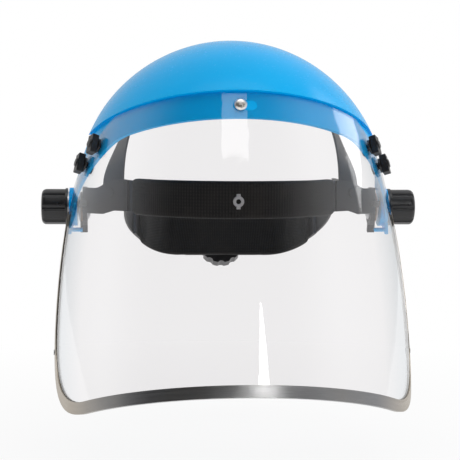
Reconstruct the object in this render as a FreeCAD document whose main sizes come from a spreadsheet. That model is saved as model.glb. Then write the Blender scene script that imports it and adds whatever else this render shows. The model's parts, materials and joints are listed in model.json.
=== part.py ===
"""Browguard face shield: ratchet headgear, tilting crown and turn-latched clear visor.

Row frame: +Z up as worn, the wearer looks along -Y, and the origin is the middle of the
axis that the crown tilts about. Left and right in the names are as seen from in front of
the shield, so right is +X, which is the wearer's left hand side.

Two sub-frames turn about that X axis. The crown frame, in which the crown and the visor
hang straight, is raised by visor_raise. The nape frame, in which the rear straps and the
ratchet lie level, drops by nape_drop from a line nape_lift above the tilt axis.
"""
import FreeCAD, Part
import Sketcher
import math
import os

doc = FreeCAD.newDocument("FaceShield")
sheet = doc.addObject("Spreadsheet::Sheet", "Sizes")

# Driving dimensions in millimetres, and degrees where the name says angle.
SIZES = {
    # visor sheet: half widths and depths of its outer face at four levels
    "brow_half": 107.0, "brow_deep": 129.8, "brow_level": 42.0,
    "pivot_half": 116.0, "pivot_deep": 133.0,
    "cheek_half": 124.7, "cheek_deep": 139.0, "cheek_level": -80.0,
    "chin_half": 123.5, "chin_deep": 145.0, "chin_level": -165.0,
    "visor_tall": 203.0, "visor_thick": 1.0, "visor_rear": -17.0, "visor_corner": 68.0,
    "slot_long": 16.0, "slot_tall": 7.0, "slot_shift": 3.0,
    "binding_wide": 8.0, "binding_thick": 0.65,
    # crown
    "visor_raise_angle": 20.0,
    "crease_level": 39.7, "band_bottom": 21.6, "crown_wall": 2.5, "crown_gap": 0.15,
    "dome_half": 115.0, "dome_deep": 141.0, "dome_tall": 117.5,
    "rim_foot": -47.0, "rim_head": -44.0, "rim_level": 41.0,
    "boss_radius": 14.0, "boss_inside": 111.0, "boss_outside": 116.8,
    "stop_reach": 17.5, "stop_peg": 1.5, "rivet_level": 30.4, "rivet_radius": 2.0,
    # turn latches
    "latch_long": 13.5, "latch_wide": 7.0, "latch_thick": 5.0, "latch_base": 5.2,
    "post_radius": 2.4,
    # front band and ears
    "band_half": 80.0, "band_deep": 97.0, "band_tall": 22.0, "band_low": -1.0,
    "band_thick": 2.0, "band_end": 10.0,
    "ear_inside": 104.0, "ear_thick": 3.0, "ear_radius": 13.5, "ear_strip": 2.5,
    "pad_front": 2.3, "pad_back": 7.0, "pad_over": 2.3, "pad_end": -42.0, "pad_gap": 0.3,
    # pivot hardware
    "bolt_radius": 4.0, "bolt_head": 9.0, "bolt_tip": 130.5,
    "knob_radius": 13.0, "knob_inside": 118.1, "knob_outside": 137.0, "insert_radius": 6.0,
    # crown straps
    "crown_strap_wide": 13.0, "crown_strap_thick": 1.5, "crown_strap_rise": 84.0,
    "crown_strap_half": 81.2, "crown_strap_base": 24.0,
    # rear straps, racks and ratchet, in the nape frame
    "nape_drop_angle": 22.5, "nape_lift": 6.5,
    "strap_tall": 18.0, "strap_thick": 1.8, "strap_side": 77.4, "strap_start": -8.0,
    "strap_turn": 12.0, "strap_rear": 100.1, "rack_end": 33.6,
    "housing_half": 33.0, "housing_tall": 25.0, "wing_end": 50.0,
    "pinion_radius": 5.0, "gear_depth": 1.0, "pinion_teeth": 10,
    "ratchet_radius": 18.0, "ratchet_deep": 13.0,
    "nape_pad_low": -16.0, "nape_pad_top": 20.0, "nape_pad_thick": 5.5, "nape_pad_end": 52.0,
}
for row, (alias, size) in enumerate(SIZES.items(), start=1):
    sheet.set("A%d" % row, alias)
    sheet.set("B%d" % row, str(size))
    sheet.setAlias("B%d" % row, alias)
doc.recompute()

REACH = 170.0        # longer than any part of the shield, for cutting tools
PAST_FRONT = "-Sizes.chin_deep - 9"     # Y in front of the visor and the crown
CLEAR = 0.1          # gap between neighbours that don't move on each other
RUNNING = 0.05       # radial clearance of a shaft in its bore
FAR_BELOW = -100.0   # level below every part of the crown
SIDES = (("left", -1), ("right", 1))


# ---------------------------------------------------------------- small tools
def vec(x, y, z):
    return FreeCAD.Vector(x, y, z)


def turn(axis, angle):
    return FreeCAD.Rotation(axis, angle)


def at(x, y, z, rotation=None):
    return FreeCAD.Placement(vec(x, y, z), rotation or FreeCAD.Rotation())


def size(alias):
    return float(SIZES[alias])


def bind(item, **expressions):
    """Bind properties of an object to expressions over the sheet."""
    for name, text in expressions.items():
        item.setExpression(name, str(text))
    return item


def block(name, low, high):
    """Box between two corners, whose coordinates are expressions."""
    box = doc.addObject("Part::Box", name)
    for side, start, end in zip(("Length", "Width", "Height"), low, high):
        box.setExpression(side, "(%s) - (%s)" % (end, start))
    for axis, start in zip("xyz", low):
        box.setExpression("Placement.Base." + axis, str(start))
    return box


def column(name, stations, centre=("0", "0")):
    """Solid through ellipses of (half width along X, depth along Y, level)."""
    rings = []
    for half, deep, level in stations:
        ring = doc.addObject("Part::Ellipse", name + "_ring")
        bind(ring, MajorRadius=deep, MinorRadius=half)
        ring.Placement = at(0, 0, 0, turn(vec(0, 0, 1), 90))
        ring.setExpression("Placement.Base.x", centre[0])
        ring.setExpression("Placement.Base.y", centre[1])
        ring.setExpression("Placement.Base.z", str(level))
        rings.append(ring)
    loft = doc.addObject("Part::Loft", name)
    loft.Sections = rings
    loft.Solid = True
    loft.Ruled = False
    return loft


def rod(name, radius, start, end, place):
    """Cylinder along its own Z, from start to end, put at a placement."""
    pin = doc.addObject("Part::Cylinder", name)
    bind(pin, Radius=radius, Height="(%s) - (%s)" % (end, start))
    length_shift = at(0, 0, float(pin.evalExpression(str(start))))
    pin.Placement = place.multiply(length_shift)
    return pin


def join(name, items):
    fused = doc.addObject("Part::MultiFuse", name)
    fused.Shapes = items
    return fused


def shared(name, items):
    common = doc.addObject("Part::MultiCommon", name)
    common.Shapes = items
    return common


def minus(name, base, tool):
    cut = doc.addObject("Part::Cut", name)
    cut.Base = base
    cut.Tool = tool
    return cut


def group(name, items):
    compound = doc.addObject("Part::Compound", name)
    compound.Links = items
    return compound


def mirrored(name, source):
    """The same piece on the other side of the X = 0 plane."""
    copy = doc.addObject("Part::Mirroring", name)
    copy.Source = source
    copy.Normal = vec(1, 0, 0)
    return copy


# ------------------------------------------------------- PartDesign helpers
def new_body(name):
    return doc.addObject("PartDesign::Body", name)


def sketch_on(body, name, role):
    sketch = body.newObject("Sketcher::SketchObject", name)
    plane = [item for item in body.Origin.OriginFeatures if item.Role == role][0]
    sketch.AttachmentSupport = [(plane, "")]
    sketch.MapMode = "FlatFace"
    return sketch


def pin_point(sketch, index, point, place):
    """Fix one point of a sketch at two expressions."""
    for kind, text in zip(("DistanceX", "DistanceY"), place):
        value = float(sketch.evalExpression(str(text)))
        item = sketch.addConstraint(Sketcher.Constraint(kind, -1, 1, index, point, value))
        sketch.setExpression("Constraints[%d]" % item, str(text))


def draw_polygon(sketch, corners):
    spots = [vec(*[float(sketch.evalExpression(str(text))) for text in corner], 0)
             for corner in corners]
    first = sketch.GeometryCount
    count = len(spots)
    for index in range(count):
        sketch.addGeometry(Part.LineSegment(spots[index], spots[(index + 1) % count]))
    for index in range(count):
        following = first + (index + 1) % count
        sketch.addConstraint(Sketcher.Constraint("Coincident", first + index, 2, following, 1))
        pin_point(sketch, first + index, 1, corners[index])


def draw_circle(sketch, centre, radius):
    spot = vec(*[float(sketch.evalExpression(str(text))) for text in centre], 0)
    length = float(sketch.evalExpression(str(radius)))
    index = sketch.addGeometry(Part.Circle(spot, vec(0, 0, 1), length))
    item = sketch.addConstraint(Sketcher.Constraint("Radius", index, length))
    sketch.setExpression("Constraints[%d]" % item, str(radius))
    pin_point(sketch, index, 3, centre)


def pad(body, sketch, length, symmetric=False, backwards=False):
    feature = body.newObject("PartDesign::Pad", sketch.Name + "_pad")
    feature.Profile = sketch
    feature.setExpression("Length", str(length))
    if symmetric:
        feature.SideType = "Symmetric"
    feature.Reversed = backwards
    doc.recompute()
    return feature


def edges_where(shape, test):
    return ["Edge%d" % (index + 1) for index, edge in enumerate(shape.Edges) if test(edge)]


def fillet(body, base, edges, radius):
    """Round some edges of a feature of the body."""
    feature = body.newObject("PartDesign::Fillet", base.Name + "_fillet")
    feature.Base = (base, edges)
    feature.setExpression("Radius", str(radius))
    doc.recompute()
    return feature


def prism(name, role, corners, length, rounds=(), backwards=False, symmetric=True):
    """Pad of a polygon. rounds holds (corner number, radius) for corners to be rounded."""
    body = new_body(name)
    sketch = sketch_on(body, name + "_outline", role)
    draw_polygon(sketch, corners)
    feature = pad(body, sketch, length, symmetric=symmetric, backwards=backwards)
    spread = {"YZ_Plane": (1, 2), "XZ_Plane": (0, 2), "XY_Plane": (0, 1)}[role]
    for number, radius in rounds:
        spot = [float(sketch.evalExpression(str(text))) for text in corners[number]]

        def at_corner(edge):
            return all(math.hypot(vertex.Point[spread[0]] - spot[0],
                                  vertex.Point[spread[1]] - spot[1]) < 0.01
                       for vertex in edge.Vertexes)
        feature = fillet(body, feature, edges_where(feature.Shape, at_corner), radius)
    return body


def turned(name, corners):
    """Body of revolution about Z from corners of (radius, level)."""
    body = new_body(name)
    sketch = sketch_on(body, name + "_profile", "XZ_Plane")
    draw_polygon(sketch, corners)
    feature = body.newObject("PartDesign::Revolution", name + "_turn")
    feature.Profile = sketch
    feature.ReferenceAxis = (sketch, ["V_Axis"])
    feature.Angle = 360
    doc.recompute()
    return body


def round_rims(body, test, radius):
    return fillet(body, body.Tip, edges_where(body.Tip.Shape, test), radius)


def is_circle(radius, level):
    """Test for a full circle of one radius at one level along Z."""
    def test(edge):
        curve = edge.Curve
        return (isinstance(curve, Part.Circle) and abs(curve.Radius - radius) < 0.01
                and abs(curve.Center.z - level) < 0.01 and len(edge.Vertexes) == 1)
    return test


# ------------------------------------------------------------ shared surfaces
CROWN_FRAME = at(0, 0, 0, turn(vec(1, 0, 0), -size("visor_raise_angle")))
NAPE_FRAME = at(0, 0, size("nape_lift"), turn(vec(1, 0, 0), -size("nape_drop_angle")))


def visor_column(name, inset):
    """Solid bounded by the visor's outer face moved inwards by an expression."""
    levels = (("brow", "Sizes.brow_level"), ("pivot", "0"),
              ("cheek", "Sizes.cheek_level"), ("chin", "Sizes.chin_level"))
    stations = [("Sizes.%s_half - (%s)" % (key, inset), "Sizes.%s_deep - (%s)" % (key, inset),
                 level) for key, level in levels]
    return column(name, stations)


OUTER = visor_column("visor_outer", "0")
doc.recompute()


def face_point(y, z, side):
    """Point of the visor's outer face at y and z, with its outward normal."""
    line = Part.makeLine(vec(0, y, z), vec(side * REACH, y, z))
    spot = OUTER.Shape.section(line).Vertexes[0].Point
    face = min(OUTER.Shape.Faces, key=lambda item: item.distToShape(Part.Vertex(spot))[0])
    normal = face.normalAt(*face.Surface.parameter(spot))
    return spot, normal if normal.x * side > 0 else -normal


def on_visor(y, z, side):
    """Placement on the visor: local Z points out of the face and local Y points up it."""
    spot, normal = face_point(y, z, side)
    along = vec(0, 0, 1).cross(normal)
    along.normalize()
    up = normal.cross(along)
    return FreeCAD.Placement(spot, FreeCAD.Rotation(along, up, normal, "ZXY"))


def on_front(z):
    """Placement on the visor's centre line, local Z pointing forwards."""
    line = Part.makeLine(vec(0, 0, z), vec(0, -REACH, z))
    spot = OUTER.Shape.section(line).Vertexes[0].Point
    slope = math.degrees(math.atan((size("pivot_deep") - size("brow_deep")) / size("brow_level")))
    return FreeCAD.Placement(spot, turn(vec(1, 0, 0), 90 - slope))


LATCH_SPOTS = (("upper", -70.0, 22.5), ("lower", -53.0, 14.5))
LATCHES = {"%s_%s" % (row, word): on_visor(y, z, side)
           for row, y, z in LATCH_SPOTS for word, side in SIDES}
RIVET_PLACE = on_front(size("rivet_level"))
BINDING_BORE = 1.2
BINDING_TOP = "-11"      # level where the binding's upper ends stop, clear of the arms
BINDING_RIVETS = [on_visor(size("visor_rear") - 3.2, -112.0, side) for _, side in SIDES]
SIDEWAYS = {-1: turn(vec(0, 1, 0), -90), 1: turn(vec(0, 1, 0), 90)}
POSTS_THROUGH = join("post_holes", [
    rod("post_hole", "Sizes.post_radius + 0.1", -10, 10, LATCHES[key]) for key in LATCHES])
VISOR_IN = "Sizes.visor_thick"
CROWN_OUT = "Sizes.visor_thick + Sizes.crown_gap"
CROWN_IN = "Sizes.visor_thick + Sizes.crown_gap + Sizes.crown_wall"


# ---------------------------------------------------------------------- crown
ARM_START = -88.0    # Y where the band's lower edge turns down into the arm


def crown_outline():
    """Side view of dome, band and arms, as a tool that spans the whole width."""
    boss = size("boss_radius")

    def tangent(y, z, way):
        """Where a line from a corner touches the pivot boss."""
        reach = math.hypot(y, z)
        lean = math.atan2(z, y) + way * math.acos(boss / reach)
        return boss * math.cos(lean), boss * math.sin(lean)

    low = tangent(ARM_START, size("band_bottom"), 1)
    high = tangent(size("rim_foot"), size("rim_level"), -1)
    corners = ((PAST_FRONT, "Sizes.band_bottom"), (ARM_START, "Sizes.band_bottom"),
               low, high, ("Sizes.rim_foot", "Sizes.rim_level"),
               ("Sizes.rim_head", "Sizes.dome_tall + 9"), (PAST_FRONT, "Sizes.dome_tall + 9"))
    side_view = prism("crown_side_view", "YZ_Plane", corners, 2 * REACH,
                      rounds=((1, 40.0), (4, 12.0)))
    tail = prism("tail_side_view", "YZ_Plane", ((-7, -11), (2, -21.5), (7, -10)), 2 * REACH,
                 rounds=((1, 1.2),))
    boss_view = rod("boss_side_view", "Sizes.boss_radius", -REACH, REACH,
                    at(0, 0, 0, SIDEWAYS[1]))
    return join("crown_outline", [side_view, tail, boss_view])


def crown_shell():
    crease = "Sizes.crease_level + 0.5"
    ledge = "Sizes.crease_level + 2"

    def dome(name, inset):
        ball = doc.addObject("Part::Ellipsoid", name)
        return bind(ball, Radius1="Sizes.dome_tall - (%s)" % inset,
                    Radius2="Sizes.dome_half - (%s)" % inset,
                    Radius3="Sizes.dome_deep - (%s)" % inset)

    outside = join("crown_outside", [
        shared("dome_outside", [dome("dome_outer", "0"),
                                block("above_crease", (-REACH, -REACH, crease),
                                      (REACH, REACH, REACH))]),
        shared("band_outside", [visor_column("band_outer", CROWN_OUT),
                                block("below_crease", (-REACH, -REACH, FAR_BELOW),
                                      (REACH, REACH, crease))])])
    hollow = join("crown_hollow", [
        shared("dome_inside", [dome("dome_inner", "Sizes.crown_wall"),
                               block("above_ledge", (-REACH, -REACH, ledge),
                                     (REACH, REACH, REACH))]),
        shared("band_inside", [visor_column("band_inner", CROWN_IN),
                               block("below_ledge", (-REACH, -REACH, FAR_BELOW - 1),
                                     (REACH, REACH, ledge))])])
    shell = shared("crown_skin", [minus("crown_wall", outside, hollow), crown_outline()])
    bosses = []
    bolt_holes = []
    reliefs = [POSTS_THROUGH, rod("rivet_hole", "Sizes.rivet_radius", -12, 6, RIVET_PLACE)]
    for word, side in SIDES:
        outwards = at(0, 0, 0, SIDEWAYS[side])
        peg_line = at(0, 0, -size("stop_reach"), SIDEWAYS[side])
        bosses.append(rod("boss_" + word, "Sizes.boss_radius", "Sizes.boss_inside",
                          "Sizes.boss_outside", outwards))
        bosses.append(rod("peg_" + word, "Sizes.stop_peg", "Sizes.ear_inside + 3.3",
                          "Sizes.boss_outside - 1", peg_line))
        reliefs.append(rod("boss_relief_" + word, "Sizes.boss_radius + 0.5", 90,
                           "Sizes.boss_inside", outwards))
        bolt_holes.append(rod("bolt_hole_" + word, "Sizes.bolt_radius + 0.1", 90, 130,
                              outwards))
    body = minus("crown_relieved", shell, join("crown_reliefs", reliefs))
    return minus("crown_shell", join("crown_bossed", [body] + bosses),
                 join("crown_bolt_holes", bolt_holes))


# ---------------------------------------------------------------------- visor
def visor_outline(name, grow, top, rear_top):
    """Side view of the sheet grown by a margin, its lower rear corner rounded."""
    floor = "Sizes.crease_level - Sizes.visor_tall - (%s)" % grow
    rear = "Sizes.visor_rear + (%s)" % grow
    corners = ((PAST_FRONT, floor), (rear, floor), (rear, rear_top)) + top
    return prism(name, "YZ_Plane", corners, 2 * REACH,
                 rounds=((1, "Sizes.visor_corner + (%s)" % grow),))


SHEET_TOP = (("-34", "14"), ("-84", "Sizes.crease_level - 0.2"),
             (PAST_FRONT, "Sizes.crease_level - 0.2"))


def visor_blank():
    """The sheet before its slot and holes are cut."""
    skin = minus("visor_skin", OUTER, visor_column("visor_inner", VISOR_IN))
    return shared("visor_blank", [skin, visor_outline("visor_side_view", "0", SHEET_TOP, "5")])


def visor_sheet(blank):
    slot = new_body("visor_slot")
    sketch = sketch_on(slot, "slot_outline", "XY_Plane")
    draw_polygon(sketch, [("Sizes.slot_shift %s Sizes.slot_long / 2" % way,
                           "%s Sizes.slot_tall / 2" % up)
                          for way, up in (("-", "-"), ("+", "-"), ("+", "+"), ("-", "+"))])
    feature = pad(slot, sketch, 16, symmetric=True)
    upright = edges_where(feature.Shape, lambda edge: abs(edge.tangentAt(0).z) > 0.9)
    fillet(slot, feature, upright, "Sizes.slot_tall / 2 - 0.05")
    slot.Placement = RIVET_PLACE
    small = [rod("binding_hole", BINDING_BORE, -4, 4, place) for place in BINDING_RIVETS]
    return minus("visor_sheet", blank, join("visor_holes", [slot, POSTS_THROUGH] + small))


def edge_binding(blank):
    """U channel of aluminium over the rear edges and the bottom edge of the sheet."""
    thick = minus("binding_thick_skin", visor_column("binding_outer", "-Sizes.binding_thick"),
                  visor_column("binding_inner", "Sizes.visor_thick + Sizes.binding_thick"))
    inset = "Sizes.binding_thick - Sizes.binding_wide"
    long_side = visor_outline("binding_outside", "Sizes.binding_thick",
                              ((PAST_FRONT, BINDING_TOP),), BINDING_TOP)
    short_side = visor_outline("binding_inside", inset, ((PAST_FRONT, "12"),), "12")
    strip = minus("binding_strip", long_side, short_side)
    channel = minus("binding_channel", shared("binding_blank", [thick, strip]), blank)
    holes = [rod("binding_bore", BINDING_BORE, -4, 4, place) for place in BINDING_RIVETS]
    return minus("edge_binding", channel, join("binding_bores", holes))


def binding_rivets():
    """Flat headed rivets that hold the binding, one a side."""
    thick = size("binding_thick")
    inner = -(size("visor_thick") + thick)
    pins = []
    for place in BINDING_RIVETS:
        pin = turned("binding_rivet", (
            (0, inner - 0.6), (1.9, inner - 0.6), (1.9, inner - 0.05),
            (BINDING_BORE - RUNNING, inner - 0.05), (BINDING_BORE - RUNNING, thick + 0.05),
            (1.9, thick + 0.05), (1.9, thick + 0.6), (0, thick + 0.6)))
        pin.Placement = place
        pins.append(pin)
    return group("binding_rivets", pins)


def centre_rivet():
    body = turned("centre_rivet", (
        (0, -6.4), ("Sizes.rivet_radius - 0.05", -6.4), ("Sizes.rivet_radius - 0.05", 0.15),
        (4.2, 0.15), (4.2, 0.9), (3.1, 2.0), (1.4, 2.6), (0, 2.7)))
    round_rims(body, is_circle(3.1, 2.0), 0.9)
    body.Placement = RIVET_PLACE
    return body


def rivet_washer():
    back = "-(%s) - 0.15" % CROWN_IN
    body = turned("rivet_washer", (
        ("Sizes.rivet_radius", back + " - 1"), (5, back + " - 1"), (5, back),
        ("Sizes.rivet_radius", back)))
    body.Placement = RIVET_PLACE
    return body


# ---------------------------------------------------------------- turn latches
BASE_FOOT = 0.25     # underside of a latch base over the visor's face
LEVER_FOOT = 1.6     # underside of a latch lever over the visor's face


def latch_posts():
    back = -(size("visor_thick") + size("crown_gap") + size("crown_wall")) - BASE_FOOT
    top = LEVER_FOOT + size("latch_thick")
    posts = []
    for key, place in LATCHES.items():
        post = turned("post_" + key, (
            (0, back - 1.5), (5, back - 1.5), (5, back), ("Sizes.post_radius", back),
            ("Sizes.post_radius", top + 0.1), (3.3, top + 0.1), (2.6, top + 0.9), (0, top + 1.1)))
        post.Placement = place
        posts.append(post)
    return group("latch_posts", posts)


def latch_bases():
    rings = []
    for key, place in LATCHES.items():
        ring = turned("base_" + key, (
            ("Sizes.post_radius + 0.02", BASE_FOOT), ("Sizes.latch_base", BASE_FOOT),
            ("Sizes.latch_base", LEVER_FOOT - CLEAR),
            ("Sizes.post_radius + 0.02", LEVER_FOOT - CLEAR)))
        ring.Placement = place
        rings.append(ring)
    return group("latch_bases", rings)


def latch_lever(key):
    """Rounded thumb lever with a finger notch at its middle."""
    body = new_body("latch_lever_" + key)
    sketch = sketch_on(body, key + "_lever", "XY_Plane")
    draw_polygon(sketch, [("%s Sizes.latch_wide / 2" % way, "%s Sizes.latch_long / 2" % up)
                          for way, up in (("-", "-"), ("+", "-"), ("+", "+"), ("-", "+"))])
    draw_circle(sketch, (0, 0), "Sizes.post_radius + %s" % RUNNING)
    feature = pad(body, sketch, "Sizes.latch_thick")
    notch = sketch_on(body, key + "_notch", "YZ_Plane")
    draw_circle(notch, (0, "Sizes.latch_thick + 1.6"), 2.2)
    pocket = body.newObject("PartDesign::Pocket", key + "_notch_cut")
    pocket.Profile = notch
    pocket.Length = 30
    pocket.SideType = "Symmetric"
    doc.recompute()
    half_wide = size("latch_wide") / 2
    half_long = size("latch_long") / 2

    def is_corner(edge):
        return all(abs(abs(vertex.Point.x) - half_wide) < 0.01
                   and abs(abs(vertex.Point.y) - half_long) < 0.01 for vertex in edge.Vertexes)
    fillet(body, pocket, edges_where(pocket.Shape, is_corner), 0.6)
    body.Placement = LATCHES[key].multiply(at(0, 0, LEVER_FOOT))
    return body


# -------------------------------------------------------------- front band, ears
TILT_DOWN = 25.0     # degrees of tilt below the rest pose
TILT_UP = 70.0       # degrees of tilt above it
LUG_HALF = 1.8       # half the width of a stop lug
LUG_START = 11.0     # radius where a stop lug begins
KEY_LEVEL = 9.2      # height of the keyhole button at the brow
RIVET_SHANK = 1.5
EAR_LEAN = 37.6      # degrees from X to the ear's splayed arm in plan
STRAP_ROOT = 15.2    # from the splayed arm's front end to the crown strap's middle
STRAP_GAP = 0.4      # between the arm and the crown strap riveted behind it


def stop_angles():
    """Angles in the YZ plane of the two stop lugs, just past the limits of the tilt."""
    reach = size("stop_reach")
    peg = math.degrees(math.asin(size("stop_peg") / reach))
    lug = math.degrees(math.asin(LUG_HALF / reach))
    slack = 0.8
    hang = -90.0 - size("visor_raise_angle")
    return hang + TILT_DOWN + peg + lug + slack, hang - TILT_UP - peg - lug - slack


def stop_lug(name, angle):
    """Block on the ear plate's rim that the crown's stop peg runs into."""
    lug = doc.addObject("Part::Box", name)
    bind(lug, Length="Sizes.stop_reach + 2 - %s" % LUG_START, Width=2 * LUG_HALF,
         Height="Sizes.ear_thick + 2.2")
    radial = vec(0, math.cos(math.radians(angle)), math.sin(math.radians(angle)))
    square = FreeCAD.Rotation(radial, vec(1, 0, 0).cross(radial), vec(1, 0, 0), "ZXY")
    sideways = vec(1, 0, 0).cross(radial)
    corner = radial * LUG_START + vec(size("ear_inside"), 0, 0) - sideways * LUG_HALF
    lug.Placement = FreeCAD.Placement(corner, square)
    return lug


def right_ear():
    """Splayed arm from the band out to the pivot plate, with its stop lugs."""
    inside = "Sizes.ear_inside"
    outside = "Sizes.ear_inside + Sizes.ear_thick"
    top = "Sizes.band_low + Sizes.band_tall"
    plan = prism("ear_plan", "XY_Plane", (
        (74.5, -38.5), (outside, -13.5), (outside, 2), (inside, 2), (inside, -12.6),
        (73.0, -36.5)), 2 * REACH, rounds=((1, 4.0), (4, 1.2)))
    front = prism("ear_front", "XZ_Plane", (
        (70, "Sizes.band_low"), (70, top), (86, top), (96, 14.6), (112, 14.6), (112, -3.8),
        (92, -3.8), (84, "Sizes.band_low")), 2 * REACH, rounds=((2, 6.0), (3, 8.0)))
    plate = rod("ear_plate", "Sizes.ear_radius", inside, outside, at(0, 0, 0, SIDEWAYS[1]))
    lugs = [stop_lug("stop_lug", angle) for angle in stop_angles()]
    return join("ear", [shared("ear_arm", [plan, front]), plate] + lugs)


def ellipse_wall(name, outer, inner, low, high):
    """Upright wall between two ellipses of the band's family, given by their half widths."""
    rings = []
    for word, half in (("_outer", outer), ("_inner", inner)):
        deep = half + " + Sizes.band_deep - Sizes.band_half"
        rings.append(column(name + word, ((half, deep, low), (half, deep, high))))
    return minus(name, *rings)


def front_band():
    """Springy moulded band round the forehead, with an ear to each pivot."""
    top = "Sizes.band_low + Sizes.band_tall"
    ring = ellipse_wall("band_ring", "Sizes.band_half", "Sizes.band_half - Sizes.band_thick",
                        "Sizes.band_low", top)
    front = shared("band_front", [ring, block("band_limit", (-REACH, -REACH, -50),
                                              (REACH, "Sizes.band_end", 50))])
    right = right_ear()
    band = join("band_with_ears", [front, right, mirrored("left_ear", right)])
    tools = [rod("snap_hole", 2.6, -6, 6, at(0, -size("band_deep"), KEY_LEVEL,
                                             turn(vec(1, 0, 0), 90)))]
    for side in (-1, 1):
        neck = doc.addObject("Part::Box", "neck_hole")
        bind(neck, Length=20, Width="2 * Sizes.bolt_radius + 0.3",
             Height="2 * Sizes.bolt_radius + 0.3")
        half = size("bolt_radius") + 0.15
        neck.Placement = at(side * size("ear_inside") - 10, -half, -half)
        tools.append(neck)
        tools += [rod("rivet_bore", RIVET_SHANK, -12, 12, place)
                  for place in headgear_rivet_places(side)]
    return minus("front_band", band, join("band_holes", tools))


def strap_root(side):
    """Where a crown strap is riveted behind the ear's splayed arm."""
    lean = math.radians(EAR_LEAN)
    along = vec(side * math.cos(lean), math.sin(lean), 0)
    outwards = vec(side * math.sin(lean), -math.cos(lean), 0)
    inner_face = vec(side * 73.0, -36.5, 0) + along * STRAP_ROOT
    return inner_face, along, outwards


def headgear_rivet_places(side):
    """Rivet axes: crown strap to ear arm, then rear strap to front band."""
    face, along, outwards = strap_root(side)
    spin = FreeCAD.Rotation(along, vec(0, 0, 1), outwards, "ZXY")
    crown = FreeCAD.Placement(face + vec(0, 0, 12), spin)
    rear = at(side * (size("band_half") - size("band_thick") - 0.3), 3.0, 6.0, SIDEWAYS[side])
    return crown, rear


def headgear_rivets():
    """Flat rivets through strap and band: two a side."""
    pins = []
    for word, side in SIDES:
        crown, rear = headgear_rivet_places(side)
        strap = size("crown_strap_thick") + STRAP_GAP
        for place, back, front in ((crown, -strap, size("ear_strip")),
                                   (rear, -size("strap_thick") - 0.5, size("band_thick") + 0.3)):
            pin = turned("headgear_rivet", (
                (0, back - 0.9), (3, back - 0.9), (3.4, back - 0.1), (RIVET_SHANK, back - 0.1),
                (RIVET_SHANK, front + 0.25), (3.4, front + 0.25), (3, front + 1.0),
                (0, front + 1.0)))
            pin.Placement = place
            pins.append(pin)
    return group("headgear_rivets", pins)


def brow_pad():
    """Soft sleeve wrapped round the front band, open at its two ends."""
    gap = "Sizes.pad_gap"
    top = "Sizes.band_low + Sizes.band_tall"
    half = "Sizes.band_half"
    inner_band = "Sizes.band_half - Sizes.band_thick"
    solid = ellipse_wall("pad_block", half + " + Sizes.pad_front", half + " - Sizes.pad_back",
                         "Sizes.band_low - Sizes.pad_over", top + " + Sizes.pad_over")
    sleeve = ellipse_wall("pad_sleeve", "%s + %s" % (half, gap), "%s - %s" % (inner_band, gap),
                          "Sizes.band_low - %s" % gap, "%s + %s" % (top, gap))
    hollow = minus("pad_hollow", solid, sleeve)
    key = new_body("key_hole")
    sketch = sketch_on(key, "key_outline", "XZ_Plane")
    draw_polygon(sketch, ((-2, KEY_LEVEL - 5.6), (2, KEY_LEVEL - 5.6), (2, KEY_LEVEL + 5.6),
                          (-2, KEY_LEVEL + 5.6)))
    pad(key, sketch, "Sizes.band_deep + 10")
    barrel = rod("key_barrel", 4.2, 80, 120, at(0, 0, KEY_LEVEL, turn(vec(1, 0, 0), 90)))
    limit = block("pad_limit", (-REACH, -REACH, -50), (REACH, "Sizes.pad_end", 50))
    front_wall = block("key_limit", (-10, -REACH, -50), (10, "2 - Sizes.band_deep", 50))
    window = shared("key_window", [join("key_shape", [key, barrel]), front_wall])
    return minus("brow_pad", shared("pad_front", [hollow, limit]), window)


def pad_button():
    """Keyhole button pressed through the band, which holds the pad."""
    face = size("band_deep")
    body = turned("button_round", (
        (1.7, -2.2), (2.55, -2.2), (2.55, 0.05), (3.7, 0.05), (3.7, 2.2), (3.3, 2.6),
        (1.7, 2.6)))
    body.Placement = at(0, -face, KEY_LEVEL, turn(vec(1, 0, 0), 90))
    tabs = [block("button_tab", (-1.4, "-%s - 1.9" % face, KEY_LEVEL + low),
                  (1.4, "-%s - 0.2" % face, KEY_LEVEL + high))
            for low, high in ((3.2, 5.1), (-5.1, -3.2))]
    return join("pad_button", [body] + tabs)


# --------------------------------------------------------------- crown straps
STRAP_SHIFT = 17.0       # how far back the strap's top lies from its roots
STRAP_SWEEP = 98.5       # degrees of the arch that each half covers
STRAP_STEPS = 7
STRAP_STRAIGHT = (4.0, 8.0, 13.0, 18.0)  # levels over which the root stays flat
STRAP_FLARE = 5.0        # extra width at the root
PEG_RADIUS = 1.9
PEG_SPOTS = (-4.0, 4.0)
HOLE_SPOTS = (-4.0, 4.0, 12.0, 20.0)


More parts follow.
